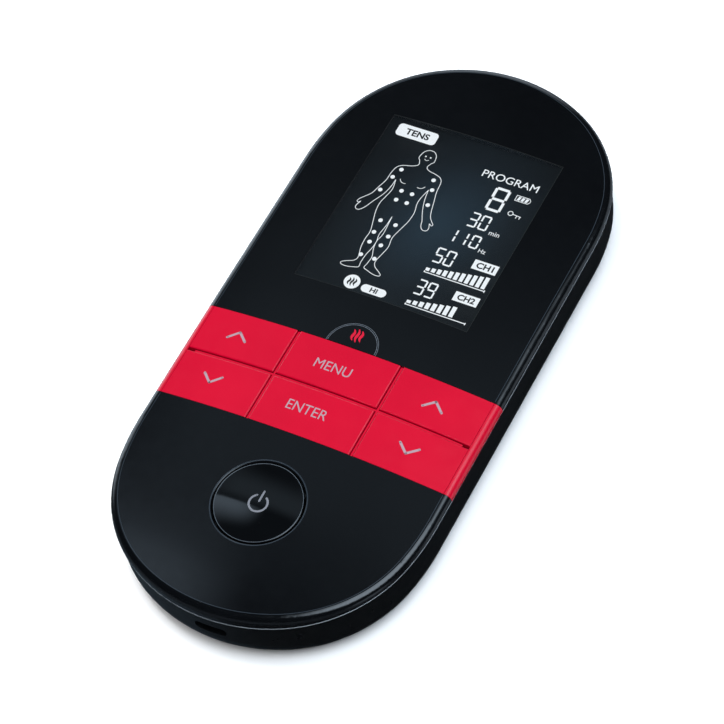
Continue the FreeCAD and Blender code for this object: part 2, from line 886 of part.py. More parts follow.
def output_jack(number, side):
    """Electrode socket: a block under the board with a round nose in the case's end wall."""
    centre = f"{side} * jack_across"
    body = new_body(f"output_jack_{number}")
    block = new_sketch(body, level="jack_height - jack_drop")
    rectangle(block, f"{centre} - jack_half", f"{centre} + jack_half", "jack_back", "jack_front")
    pad(body, block, "2 * jack_drop")
    nose = new_sketch(body, "XZ_Plane", "-1 * jack_front")
    circle(nose, centre, "jack_height", "jack_nose_radius")
    pad(body, nose, "jack_nose_end - jack_front", downwards=True)
    bore = new_sketch(body, "XZ_Plane", "-1 * jack_nose_end")
    circle(bore, centre, "jack_height", "jack_bore_radius")
    pocket(body, bore, "jack_bore_depth", along_normal=True)
    return body


def usb_socket():
    """Charging socket: a folded steel shell, open towards the low end."""
    body = new_body("usb_socket")
    shell = new_sketch(body, "XZ_Plane", "-1 * usb_back")
    rectangle(shell, "usb_across - usb_shell_half", "usb_across + usb_shell_half",
              "usb_height - usb_shell_rise", "usb_height + usb_shell_rise")
    pad(body, shell, "usb_back - usb_front")
    fillet(body, runs_lengthways, "usb_shell_round")
    mouth = new_sketch(body, "XZ_Plane", "-1 * usb_front")
    rectangle(mouth, "usb_across - usb_shell_half + usb_shell_wall",
              "usb_across + usb_shell_half - usb_shell_wall",
              "usb_height - usb_shell_rise + usb_shell_wall",
              "usb_height + usb_shell_rise - usb_shell_wall")
    pocket(body, mouth, "usb_back - usb_front - usb_shell_wall")
    return body


def usb_tongue():
    """Contact tongue inside the charging socket."""
    return slab("usb_tongue", "usb_across - tongue_half", "usb_across + tongue_half",
                "usb_front + tongue_setback", "usb_back - usb_shell_wall",
                "usb_height - tongue_thick / 2", "tongue_thick")


# ---------------------------------------------------------------- battery

def battery_cell():
    body = slab("battery_cell", "-1 * cell_half", "cell_half", "cell_low", "cell_high",
                "cell_bottom", "cell_thick")
    fillet(body, runs_lengthways, "cell_round")
    return body


def battery_pad():
    return slab("battery_pad", "pad_margin - cell_half", "cell_half - pad_margin",
                "cell_low + pad_margin", "cell_high - pad_margin",
                "rear_floor", "cell_bottom - rear_floor")


def battery_connector():
    return under_board("battery_connector", "-1 * plug_half", "plug_half", "plug_low", "plug_high",
                       "plug_height")


def battery_lead(label, side):
    """Lead from the cell up to its connector: two bends between straight runs."""
    bend, half_turn = size("lead_bend"), math.sqrt(0.5)
    low, high = size("lead_low"), size("lead_high")
    start, finish = size("cell_high"), size("cell_high") + size("lead_reach")
    first, last = start + size("lead_run"), finish - size("lead_run")
    points = [Vector(start, low, 0), Vector(first, low, 0),
              Vector(first + bend * half_turn, low + bend * (1 - half_turn), 0),
              Vector(first + bend, low + bend, 0),
              Vector(last - bend * half_turn, high - bend * (1 - half_turn), 0),
              Vector(last, high, 0), Vector(finish, high, 0)]
    body = new_body(label)
    path = new_sketch(body, "YZ_Plane", f"{side} * lead_across")
    closed_loop(path, [Part.LineSegment(points[0], points[1]), Part.Arc(points[1], points[2], points[3]),
                       Part.Arc(points[3], points[4], points[5]), Part.LineSegment(points[5], points[6])])
    section = new_sketch(body, "XZ_Plane", "-1 * cell_high")
    circle(section, f"{side} * lead_across", "lead_low", "lead_radius")
    sweep = body.newObject("PartDesign::AdditivePipe", label + "_sweep")
    sweep.Profile = section
    sweep.Spine = path
    body.Tip = sweep
    doc.recompute()
    return body


# ---------------------------------------------------------------- rear cover

def rear_cover():
    body = new_body("rear_cover")
    shell = new_sketch(body)
    outline(shell, size("rear_inset"))
    pad(body, shell, "split_height - split_gap")
    fillet(body, lambda edge: highest(edge) < TOUCHING, "rear_round")
    hollow = new_sketch(body, level="split_height - split_gap")
    outline(hollow, size("rear_inset") + size("rear_wall"))
    pocket(body, hollow, "split_height - split_gap - rear_floor")
    floor = size("rear_floor")
    fillet(body, lambda edge: max(abs(lowest(edge) - floor), abs(highest(edge) - floor)) < TOUCHING,
           "rear_inner_round")
    rear_lip(body)
    bosses = new_sketch(body, level="rear_floor / 2")
    screw_circles(bosses, "rear_boss_radius")
    pad(body, bosses, "board_bottom - rear_floor / 2")
    cradle(body)
    rear_openings(body)
    clip_slot(body)
    return body


def rear_lip(body):
    """Tongue that locates the front cover, broken where the red rim pieces sit."""
    lip = new_sketch(body, level="split_height - split_gap - rear_floor")
    outline(lip, size("lip_inset"))
    outline(lip, size("lip_inset") + size("lip_wall"))
    pad(body, lip, "rear_floor + lip_rise")
    gap = new_sketch(body, level="split_height + overshoot")
    rectangle(gap, "-1 * case_width", "case_width", "band_low - front_wall", "band_high + front_wall")
    pocket(body, gap, "overshoot + split_gap")


def cradle(body):
    """Two ribs that keep the battery from sliding along the case."""
    for low in ("cell_low - cradle_room - cradle_wall", "cell_high + cradle_past_lead"):
        rib = new_sketch(body, level="rear_floor / 2")
        rectangle(rib, "-1 * cell_half / 2", "cell_half / 2", low, f"{low} + cradle_wall")
        pad(body, rib, "cell_bottom")


def rear_openings(body):
    """Screw holes from below, the charging slot and the two round output openings."""
    through = new_sketch(body)
    screw_circles(through, "screw_hole_radius")
    pocket(body, through, "case_height", along_normal=True)
    seats = new_sketch(body)
    screw_circles(seats, "head_radius + head_room")
    pocket(body, seats, "head_seat", along_normal=True)
    slot = new_sketch(body, "XZ_Plane", "case_length / 2")
    rectangle(slot, "usb_across - usb_slot_half", "usb_across + usb_slot_half",
              "usb_height - usb_slot_rise", "usb_height + usb_slot_rise")
    pocket(body, slot, "usb_slot_reach")

    def slot_corner(edge):
        point = middle(edge)
        near = abs(abs(point.x - size("usb_across")) - size("usb_slot_half")) < TOUCHING
        level = abs(abs(point.z - size("usb_height")) - size("usb_slot_rise")) < TOUCHING
        return near and level and point.y < -size("screw_along")

    fillet(body, slot_corner, "usb_slot_round")
    jacks = new_sketch(body, "XZ_Plane", "-1 * case_length / 2")
    for side in (-1, 1):
        circle(jacks, f"{side} * jack_across", "jack_height", "jack_hole_radius")
    pocket(body, jacks, "jack_hole_reach", along_normal=True)


def clip_slot(body):
    """Undercut slot in the back for the separate belt clip, entered from the wide end."""
    boss = new_sketch(body, level="rear_floor / 2")
    rectangle(boss, "-1 * (clip_under_half + clip_boss_margin)", "clip_under_half + clip_boss_margin",
              "clip_low - clip_boss_margin", "clip_high + clip_boss_margin")
    pad(body, boss, "clip_boss_height - rear_floor / 2")
    mouth = new_sketch(body)
    rectangle(mouth, "-1 * clip_half", "clip_half", "clip_low", "clip_high")
    pocket(body, mouth, "clip_depth", along_normal=True)
    entry = new_sketch(body)
    rectangle(entry, "-1 * clip_under_half", "clip_under_half", "clip_low", "clip_entry")
    pocket(body, entry, "clip_depth", along_normal=True)
    undercut = new_sketch(body, level="clip_lip")
    rectangle(undercut, "-1 * clip_under_half", "clip_under_half", "clip_low", "clip_high")
    pocket(body, undercut, "clip_depth - clip_lip", along_normal=True)


def case_screws():
    """Four self-tapping screws with round recesses, put in from the back."""
    body = new_body("case_screws")
    heads = new_sketch(body, level="head_seat")
    screw_circles(heads, "head_radius")
    pad(body, heads, "head_thick", downwards=True)
    shanks = new_sketch(body, level="head_seat")
    screw_circles(shanks, "shank_radius")
    pad(body, shanks, "shank_length")
    recess = new_sketch(body, level="head_seat - head_thick")
    screw_circles(recess, "shank_radius")
    pocket(body, recess, "head_thick / 2", along_normal=True)
    return body


# ---------------------------------------------------------------- assembly

def build():
    pieces = [front_cover(), display_window(), keypad_frame()]
    pieces += [key(label, *centre) for label, centre in KEY_CENTRES.items()]
    pieces += [heat_key(), power_button(), switch_domes()]
    pieces += [lcd_glass(), lcd_backlight(), lcd_holder(), lcd_connector_strip(), main_board()]
    for number, side in ((1, -1), (2, 1)):
        pieces += transformer(number, side)
    pieces += [output_capacitors(), buzzer(), chip_parts(), microcontroller(), boost_inductor()]
    pieces += [output_jack(1, -1), output_jack(2, 1), usb_socket(), usb_tongue()]
    pieces += [battery_cell(), battery_pad(), battery_connector()]
    pieces += [battery_lead("battery_lead_red", -1), battery_lead("battery_lead_black", 1)]
    pieces += [rear_cover(), case_screws()]
    return pieces


def check_document():
    doc.recompute()
    for item in doc.Objects:
        if "Invalid" in item.State or "Error" in item.State:
            raise RuntimeError(f"{item.Name} failed: {item.State}")


def write(pieces):
    os.makedirs("parts", exist_ok=True)
    for piece in pieces:
        shape = piece.Shape
        if shape.isNull() or not shape.isValid():
            raise RuntimeError(f"{piece.Label} has no valid shape")
        print(f"{piece.Label}: {len(shape.Solids)} solid(s), {shape.Volume:.1f} mm3")
        shape.exportStep(f"parts/{piece.Label}.step")


model = build()
check_document()
write(model)
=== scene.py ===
import json
import math

import bmesh
import bpy
from mathutils import Matrix, Vector
from mathutils.bvhtree import BVHTree
from mathutils.geometry import convex_hull_2d


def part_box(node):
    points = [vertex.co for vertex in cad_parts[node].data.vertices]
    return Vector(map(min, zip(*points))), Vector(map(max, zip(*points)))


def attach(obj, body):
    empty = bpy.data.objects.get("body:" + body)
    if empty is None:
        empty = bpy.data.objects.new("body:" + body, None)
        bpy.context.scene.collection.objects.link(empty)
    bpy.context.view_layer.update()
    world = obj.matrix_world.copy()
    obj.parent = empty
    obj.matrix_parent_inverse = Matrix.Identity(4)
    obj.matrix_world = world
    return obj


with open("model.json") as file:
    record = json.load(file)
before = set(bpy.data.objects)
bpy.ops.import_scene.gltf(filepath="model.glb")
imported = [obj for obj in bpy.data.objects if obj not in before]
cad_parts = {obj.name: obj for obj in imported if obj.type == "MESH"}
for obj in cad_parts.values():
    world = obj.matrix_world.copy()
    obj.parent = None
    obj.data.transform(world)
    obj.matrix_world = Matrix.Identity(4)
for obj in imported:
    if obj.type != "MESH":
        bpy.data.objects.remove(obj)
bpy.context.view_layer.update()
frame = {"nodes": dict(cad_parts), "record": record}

# ------------------------------------------------------------------ lengths

MM = 0.001
PRINT_THICK = 0.03 * MM
PRINT_GRID = 0.8 * MM
RAY_HEIGHT = 0.05
SAME_PLACE = 1e-7
NO_TURN = 1e-6
MITRE_LIMIT = 0.5
SHARP_ANGLE = math.radians(28)

CASE_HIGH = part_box("front_cover")[1]
CASE_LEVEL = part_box("rear_cover")[0].z
FLOOR_GAP = 0.05
FACE_TOP = CASE_HIGH.z


# ------------------------------------------------------------------ flat shapes, in millimetres

class Drawing:
    """Flat shapes of print and of painted highlight and shade, collected in millimetres and then laid on
    a CAD surface.
    """

    def __init__(self):
        self.points = []
        self.faces = []

    def polygon(self, points):
        start = len(self.points)
        self.points.extend(points)
        self.faces.append(tuple(range(start, start + len(points))))

    def box(self, left, right, low, high):
        self.polygon([(left, low), (right, low), (right, high), (left, high)])

    def disc(self, x, y, radius, steps=28):
        self.polygon(ring_points(x, y, radius, steps))

    def pill(self, left, right, low, high, radius=None, steps=8):
        radius = radius or (high - low) / 2
        points = []
        corners = ((right - radius, high - radius, 0), (left + radius, high - radius, 90),
                   (left + radius, low + radius, 180), (right - radius, low + radius, 270))
        for x, y, start in corners:
            for step in range(steps + 1):
                angle = math.radians(start + 90 * step / steps)
                points.append((x + radius * math.cos(angle), y + radius * math.sin(angle)))
        self.polygon(points)

    def line(self, points, width, closed=False, taper=None):
        """A band of even or tapered width along a row of points."""
        sides = []
        count = len(points)
        for index, (x, y) in enumerate(points):
            before = points[index - 1] if index or closed else points[index]
            after = points[(index + 1) % count] if index < count - 1 or closed else points[index]
            share = taper(index / (count - 1)) if taper else 1
            sides.append(band_ends(before, (x, y), after, width * share))
        start = len(self.points)
        for left, right in sides:
            self.points.extend((left, right))
        for index in range(count if closed else count - 1):
            first, second = start + 2 * index, start + 2 * ((index + 1) % count)
            self.faces.append((first, second, second + 1, first + 1))
        if not closed:
            for end in (points[0], points[-1]):
                self.disc(end[0], end[1], width / 2 * (taper(0) if taper else 1), 14)

    def arc(self, x, y, radius, width, start=0, sweep=360, steps=48):
        closed = sweep == 360
        count = steps if closed else steps + 1
        points = []
        for step in range(count):
            angle = math.radians(start + sweep * step / steps)
            points.append((x + radius * math.cos(angle), y + radius * math.sin(angle)))
        self.line(points, width, closed)


def ring_points(x, y, radius, steps):
    turns = [2 * math.pi * step / steps for step in range(steps)]
    return [(x + radius * math.cos(turn), y + radius * math.sin(turn)) for turn in turns]


def band_ends(before, here, after, width):
    """The two edge points of a band at one of its points, mitred."""
    into = Vector((here[0] - before[0], here[1] - before[1]))
    out = Vector((after[0] - here[0], after[1] - here[1]))
    into = into.normalized() if into.length else out.normalized()
    out = out.normalized() if out.length else into
    along = (into + out).normalized() if (into + out).length > NO_TURN else into
    across = Vector((-along.y, along.x))
    stretch = 1 / max(MITRE_LIMIT, across.dot(Vector((-into.y, into.x))))
    half = across * width / 2 * stretch
    return (here[0] + half.x, here[1] + half.y), (here[0] - half.x, here[1] - half.y)


def smooth_line(points, steps=6, closed=False):
    """A Catmull-Rom curve through the points."""
    count = len(points)
    result = []
    for index in range(count if closed else count - 1):
        def pick(offset):
            place = index + offset
            return points[place % count] if closed else points[min(max(place, 0), count - 1)]
        p0, p1, p2, p3 = pick(-1), pick(0), pick(1), pick(2)
        for step in range(steps):
            t = step / steps
            result.append(tuple(
                0.5 * (2 * b + (c - a) * t + (2 * a - 5 * b + 4 * c - d) * t ** 2
                       + (3 * b - a - 3 * c + d) * t ** 3)
                for a, b, c, d in zip(p0, p1, p2, p3)))
    if not closed:
        result.append(points[-1])
    return result


def tree_of(node):
    mesh = frame["nodes"][node].data
    corners = [vertex.co for vertex in mesh.vertices]
    return BVHTree.FromPolygons(corners, [tuple(face.vertices) for face in mesh.polygons])


def lay(drawing_mesh, node, body, material, lift=0.0):
    """Lay a flat mesh on a CAD node's upper surface as a thin film of print or painted light that rides
    on its body.
    """
    bm = bmesh.new()
    bm.from_mesh(drawing_mesh)
    bmesh.ops.triangulate(bm, faces=bm.faces[:])
    cut_into_grid(bm)
    bmesh.ops.dissolve_degenerate(bm, dist=SAME_PLACE, edges=bm.edges[:])
    surface = tree_of(node)
    for vertex in bm.verts:
        hit = surface.ray_cast(Vector((vertex.co.x, vertex.co.y, RAY_HEIGHT)), Vector((0, 0, -1)))[0]
        vertex.co.z = (hit.z if hit else FACE_TOP) + lift
    for face in bm.faces:
        face.normal_update()
        if face.normal.z < 0:
            face.normal_flip()
    bm.to_mesh(drawing_mesh)
    bm.free()
    piece = bpy.data.objects.new(drawing_mesh.name, drawing_mesh)
    bpy.context.scene.collection.objects.link(piece)
    piece.data.materials.clear()
    piece.data.materials.append(material)
    film = piece.modifiers.new("film", "SOLIDIFY")
    film.thickness = PRINT_THICK
    film.offset = 0
    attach(piece, body)


def cut_into_grid(bm):
    """Cut long faces at an even grid, so that a film can follow a curved surface."""
    xs = [vertex.co.x for vertex in bm.verts]
    ys = [vertex.co.y for vertex in bm.verts]
    for values, axis in ((xs, Vector((1, 0, 0))), (ys, Vector((0, 1, 0)))):
        low, high = min(values), max(values)
        position = math.ceil(low / PRINT_GRID) * PRINT_GRID
        while position < high:
            geometry = bm.verts[:] + bm.edges[:] + bm.faces[:]
            bmesh.ops.bisect_plane(bm, geom=geometry, plane_co=axis * position, plane_no=axis)
            position += PRINT_GRID


def drawing_mesh(name, drawing):
    mesh = bpy.data.meshes.new(name)
    corners = [(x * MM, y * MM, 0) for x, y in drawing.points]
    mesh.from_pydata(corners, [], drawing.faces)
    return mesh


def text_mesh(name, words, left, right, low, high, weight=0.0):
    """Words in the plain built-in letters, stretched into a box given in millimetres."""
    curve = bpy.data.curves.new(name, "FONT")
    curve.body = words
    curve.offset = weight
    holder = bpy.data.objects.new(name, curve)
    bpy.context.scene.collection.objects.link(holder)
    bpy.context.view_layer.update()
    mesh = bpy.data.meshes.new_from_object(holder.evaluated_get(bpy.context.evaluated_depsgraph_get()))
    bpy.data.objects.remove(holder)
    mesh.name = name
    xs = [vertex.co.x for vertex in mesh.vertices]
    ys = [vertex.co.y for vertex in mesh.vertices]
    scale_x = (right - left) / (max(xs) - min(xs)) * MM
    scale_y = (high - low) / (max(ys) - min(ys)) * MM
    shift = Matrix.Translation((left * MM - min(xs) * scale_x, low * MM - min(ys) * scale_y, 0))
    mesh.transform(shift @ Matrix.Diagonal((scale_x, scale_y, 1, 1)))
    return mesh


# ------------------------------------------------------------------ materials

NOISE_ROUGHNESS = 0.55
NOISE_LOW, NOISE_HIGH = 0.3, 0.7


class Paint:
    """A node material made step by step."""

    def __init__(self, name):
        self.material = bpy.data.materials.new(name)
        self.material.use_nodes = True
        self.nodes = self.material.node_tree.nodes
        self.links = self.material.node_tree.links
        self.nodes.clear()
        self.output = self.nodes.new("ShaderNodeOutputMaterial")
        self.place = self.nodes.new("ShaderNodeTexCoord").outputs["Object"]

    def node(self, kind, **settings):
        node = self.nodes.new(kind)
        for name, value in settings.items():
            setattr(node, name, value)
        return node

    def join(self, source, target):
        self.links.new(source, target)

    def noise(self, size_mm, detail=3.0, stretch=(1, 1, 1)):
        mapping = self.node("ShaderNodeMapping")
        mapping.inputs["Scale"].default_value = stretch
        self.join(self.place, mapping.inputs["Vector"])
        noise = self.node("ShaderNodeTexNoise")
        noise.inputs["Scale"].default_value = 1 / (size_mm * MM)
        noise.inputs["Detail"].default_value = detail
        noise.inputs["Roughness"].default_value = NOISE_ROUGHNESS
        self.join(mapping.outputs["Vector"], noise.inputs["Vector"])
        return noise.outputs["Fac"]

    def ramp(self, source, stops):
        ramp = self.node("ShaderNodeValToRGB")
        elements = ramp.color_ramp.elements
        while len(elements) < len(stops):
            elements.new(0.5)
        for element, (position, colour) in zip(elements, stops):
            element.position = position
            element.color = colour if len(colour) == 4 else (*colour, 1)
        self.join(source, ramp.inputs["Fac"])
        return ramp.outputs["Color"]

    def between(self, source, low, high, out_low, out_high):
        node = self.node("ShaderNodeMapRange")
        limits = (("From Min", low), ("From Max", high), ("To Min", out_low), ("To Max", out_high))
        for name, value in limits:
            node.inputs[name].default_value = value
        self.join(source, node.inputs["Value"])
        return node.outputs["Result"]

    def bump(self, source, height_mm):
        bump = self.node("ShaderNodeBump")
        bump.inputs["Strength"].default_value = 1.0
        bump.inputs["Distance"].default_value = height_mm * MM
        self.join(source, bump.inputs["Height"])
        return bump.outputs["Normal"]

    def principled(self, **sockets):
        shader = self.node("ShaderNodeBsdfPrincipled")
        for name, value in sockets.items():
            socket = shader.inputs[name.replace("_", " ")]
            if isinstance(value, bpy.types.NodeSocket):
                self.join(value, socket)
            else:
                socket.default_value = value
        self.join(shader.outputs["BSDF"], self.output.inputs["Surface"])
        return shader


def shade(colour, factor):
    return tuple(min(1.0, channel * factor) for channel in colour[:3])


def moulded(name, colour, rough, grain_mm, grain_height, coat=0.0, spread=0.12,
            coat_rough=0.06, specular=0.5):
    """Moulded plastic: slight colour drift, uneven gloss and a fine surface grain."""
    paint = Paint(name)
    drift = paint.noise(14, 2)
    tint = paint.ramp(drift, [(0.3, shade(colour, 1 - spread)), (0.7, shade(colour, 1 + spread))])
    wear = paint.noise(3.5, 4)
    gloss = paint.between(wear, NOISE_LOW, NOISE_HIGH, rough * 0.85, rough * 1.2)
    grain = paint.noise(grain_mm, 3)
    normal = paint.bump(grain, grain_height)
    paint.principled(Base_Color=tint, Roughness=gloss, Normal=normal, Coat_Weight=coat,
                     Coat_Roughness=coat_rough, Specular_IOR_Level=specular)
    return paint.material


def metal(name, colour, rough, brush_mm=0.15, stretch=(1, 12, 1)):
    paint = Paint(name)
    streaks = paint.noise(brush_mm, 3, stretch)
    tint = paint.ramp(streaks, [(0.3, shade(colour, 0.82)), (0.7, shade(colour, 1.08))])
    gloss = paint.between(streaks, NOISE_LOW, NOISE_HIGH, rough * 0.8, rough * 1.3)
    paint.principled(Base_Color=tint, Metallic=1.0, Roughness=gloss, Normal=paint.bump(streaks, 0.004))
    return paint.material


def print_or_painted_light(name, colour, rough=0.45):
    """Printing, and also painted highlight and shade lines, slightly uneven."""
    paint = Paint(name)
    mottle = paint.noise(0.5, 3)
    tint = paint.ramp(mottle, [(0.25, shade(colour, 0.94)), (0.75, shade(colour, 1.02))])
    paint.principled(Base_Color=tint, Roughness=rough, Normal=paint.bump(mottle, 0.003),
                     Specular_IOR_Level=0.3)
    return paint.material


def lit_segment(name, colour, base):
    """A display segment lit from behind, with the fine unevenness of the light guide."""
    paint = Paint(name)
    mottle = paint.noise(0.5, 3)
    glow = paint.ramp(mottle, [(0.25, shade(colour, 0.95)), (0.75, shade(colour, 1.02))])
    paint.principled(Base_Color=(*base, 1), Roughness=0.5, Emission_Color=glow, Emission_Strength=1.0,
                     Normal=paint.bump(mottle, 0.002), Specular_IOR_Level=0.1)
    return paint.material


def face_material():
    """High-gloss black moulding with a faint orange peel."""
    paint = Paint("face_gloss_black")
    drift = paint.noise(30, 2)
    tint = paint.ramp(drift, [(0.3, (0.0011, 0.0013, 0.0017)), (0.7, (0.0017, 0.0021, 0.0027))])
    micro = paint.noise(2.2, 4)
    gloss = paint.between(micro, NOISE_LOW, NOISE_HIGH, 0.12, 0.16)
    peel = paint.noise(1.6, 2)
    paint.principled(Base_Color=tint, Roughness=gloss, Normal=paint.bump(peel, 0.0012),
                     Coat_Weight=0.25, Coat_Roughness=0.05, Specular_IOR_Level=0.5)
    return paint.material


def lcd_material():
    """Negative liquid crystal: dark blue-grey, lighter towards the middle of the lit field."""
    low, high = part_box("lcd_glass")
    centre = (low + high) / 2
    paint = Paint("lcd_field")
    mapping = paint.node("ShaderNodeMapping", vector_type="TEXTURE")
    mapping.inputs["Location"].default_value = (centre.x + 1.5 * MM, centre.y + 1.0 * MM, centre.z)
    mapping.inputs["Rotation"].default_value = (0, 0, math.radians(-20))
    mapping.inputs["Scale"].default_value = (21 * MM, 27 * MM, 40 * MM)
    paint.join(paint.place, mapping.inputs["Vector"])
    gradient = paint.node("ShaderNodeTexGradient", gradient_type="SPHERICAL")
    paint.join(mapping.outputs["Vector"], gradient.inputs["Vector"])
    field = paint.ramp(gradient.outputs["Fac"], [
        (0.0, (0.0055, 0.0070, 0.0085)), (0.35, (0.009, 0.013, 0.017)),
        (0.75, (0.016, 0.028, 0.040)), (1.0, (0.020, 0.037, 0.053))])
    cells = paint.noise(0.25, 2)
    gloss = paint.between(cells, NOISE_LOW, NOISE_HIGH, 0.4, 0.5)
    paint.principled(Base_Color=(0.004, 0.005, 0.006, 1), Roughness=gloss, Emission_Color=field,
                     Emission_Strength=1.0, Normal=paint.bump(cells, 0.001), Specular_IOR_Level=0.1)
    return paint.material


def pane_material():
    """Clear hard-coated pane: see-through, with the reflection that its angle gives."""
    paint = Paint("clear_pane")
    clear = paint.node("ShaderNodeBsdfTransparent")
    clear.inputs["Color"].default_value = (0.94, 0.96, 0.97, 1)
    gloss = paint.node("ShaderNodeBsdfGlossy")
    micro = paint.noise(2.2, 4)
    paint.join(paint.between(micro, NOISE_LOW, NOISE_HIGH, 0.10, 0.14), gloss.inputs["Roughness"])
    paint.join(paint.bump(paint.noise(1.6, 2), 0.0012), gloss.inputs["Normal"])
    fresnel = paint.node("ShaderNodeFresnel")
    fresnel.inputs["IOR"].default_value = 1.5
    mix = paint.node("ShaderNodeMixShader")
    paint.join(fresnel.outputs["Fac"], mix.inputs["Fac"])
    paint.join(clear.outputs["BSDF"], mix.inputs[1])
    paint.join(gloss.outputs["BSDF"], mix.inputs[2])
    paint.join(mix.outputs["Shader"], paint.output.inputs["Surface"])
    return paint.material


def board_material():
    """Green solder mask with faint tracks under it."""
    paint = Paint("board_green")
    brick = paint.node("ShaderNodeTexBrick")
    brick.inputs["Scale"].default_value = 260
    brick.inputs["Mortar Size"].default_value = 0.03
    brick.inputs["Color1"].default_value = (0.010, 0.085, 0.030, 1)
    brick.inputs["Color2"].default_value = (0.012, 0.10, 0.035, 1)
    brick.inputs["Mortar"].default_value = (0.03, 0.20, 0.07, 1)
    paint.join(paint.place, brick.inputs["Vector"])
    gloss = paint.between(paint.noise(1, 3), NOISE_LOW, NOISE_HIGH, 0.28, 0.4)
    paint.principled(Base_Color=brick.outputs["Color"], Roughness=gloss,
                     Normal=paint.bump(brick.outputs["Fac"], 0.02), Coat_Weight=0.3)
    return paint.material


def striped_material():
    """Elastomer strip: fine conducting stripes across its length."""
    paint = Paint("striped_elastomer")
    wave = paint.node("ShaderNodeTexWave", bands_direction="X")
    wave.inputs["Scale"].default_value = 900
    paint.join(paint.place, wave.inputs["Vector"])
    tint = paint.ramp(wave.outputs["Fac"], [(0.4, (0.05, 0.05, 0.05)), (0.6, (0.6, 0.6, 0.62))])
    paint.principled(Base_Color=tint, Roughness=0.7, Normal=paint.bump(wave.outputs["Fac"], 0.01))
    return paint.material


def floor_material():
    paint = Paint("studio_floor")
    tone = paint.ramp(paint.noise(80, 2), [(0.3, (0.93, 0.93, 0.93)), (0.7, (0.95, 0.95, 0.95))])
    paint.principled(Base_Color=tone, Roughness=0.9, Specular_IOR_Level=0.1)
    return paint.material


MATERIALS = {
    "face_black": face_material(),
    "button_black": moulded("button_gloss_black", (0.0012, 0.0015, 0.0019), 0.06, 1.5, 0.0006, coat=0.6,
                            coat_rough=0.02),
    "case_black": moulded("case_satin_black", (0.0022, 0.0026, 0.0032), 0.32, 0.22, 0.006, spread=0.1),
    "key_red": moulded("key_crimson", (0.38, 0.0010, 0.0160), 0.22, 0.3, 0.0008, coat=0.3,
                       spread=0.04, coat_rough=0.12, specular=0.35),
    "clear_window": pane_material(),
    "lcd": lcd_material(),
    "white_plastic": moulded("nylon_white", (0.82, 0.82, 0.79), 0.45, 0.3, 0.008),
    "elastomer": striped_material(),
    "board_green": board_material(),
    "ferrite": moulded("ferrite_grey", (0.045, 0.045, 0.05), 0.55, 0.2, 0.02),
    "copper_winding": metal("copper_wire", (0.70, 0.28, 0.10), 0.3, 0.2, (1, 1, 14)),
    "capacitor_can": metal("can_aluminium", (0.75, 0.75, 0.77), 0.28, 0.2, (1, 1, 10)),
    "chip_black": moulded("epoxy_black", (0.022, 0.022, 0.024), 0.5, 0.12, 0.01),
    "chip_ceramic": moulded("ceramic_tan", (0.32, 0.22, 0.13), 0.5, 0.15, 0.01),
    "socket_black": moulded("nylon_black", (0.012, 0.012, 0.013), 0.42, 0.25, 0.006),
    "socket_steel": metal("plated_steel", (0.66, 0.66, 0.63), 0.22),
    "spring_steel": metal("dome_steel", (0.66, 0.65, 0.60), 0.2),
    "screw_steel": metal("zinc_steel", (0.50, 0.50, 0.52), 0.3),
    "cell_wrap": metal("pouch_foil", (0.55, 0.56, 0.58), 0.35, 1.2, (1, 1, 1)),
    "foam": moulded("foam_black", (0.05, 0.05, 0.055), 0.9, 0.35, 0.12, specular=0.2),
    "lead_red": moulded("lead_red", (0.45, 0.012, 0.012), 0.4, 0.3, 0.004),
    "lead_black": moulded("lead_black", (0.015, 0.015, 0.016), 0.4, 0.3, 0.004),
}
INK_GREY = print_or_painted_light("ink_light_grey", (0.27, 0.19, 0.22))
INK_POWER = print_or_painted_light("ink_power_grey", (0.13, 0.138, 0.158))
INK_RED = print_or_painted_light("ink_red", (0.40, 0.004, 0.022))
INK_RING = print_or_painted_light("ink_ring_grey", (0.085, 0.10, 0.12))
# painted highlight: a lighter blue-grey line for the light caught at the face's edge crease and round the
# power button's hole
EDGE_HIGHLIGHT_GREY = print_or_painted_light("edge_painted_highlight", (0.016, 0.022, 0.029), 0.3)
# painted highlight: a bright grey ring for the light caught on the power button cap's rounded edge
CAP_EDGE_HIGHLIGHT = print_or_painted_light("cap_edge_painted_highlight", (0.055, 0.068, 0.082), 0.3)
# painted highlight: the light grey of the parting bead stands in for the bright line where the covers
# meet
BEAD_HIGHLIGHT_GREY = print_or_painted_light("bead_painted_highlight", (0.30, 0.34, 0.38), 0.3)
# painted highlight and painted shade on the pane's edge: lighter grey on three sides, near black on the
# left
PANE_EDGE_HIGHLIGHT = print_or_painted_light("pane_edge_painted_highlight", (0.010, 0.0115, 0.0115), 0.3)
PANE_EDGE_SHADE = print_or_painted_light("pane_edge_painted_shade", (0.0006, 0.0006, 0.0007), 0.5)
LCD_WHITE = lit_segment("lcd_white", (0.86, 0.90, 0.93), (0.05, 0.05, 0.05))
LCD_DARK = lit_segment("lcd_dark", (0.008, 0.011, 0.014), (0.01, 0.01, 0.01))


def dress_cad():
    slots = {entry["node"]: entry["material_slot"] for entry in frame["record"]["subparts"]}
    for name, part in frame["nodes"].items():
        part.data.materials.clear()
        part.data.materials.append(MATERIALS[slots[name]])
        for face in part.data.polygons:
            face.use_smooth = True
        part.data.set_sharp_from_angle(angle=SHARP_ANGLE)


# ------------------------------------------------------------------ printing on the keys and the face, and painted highlight and shade lines

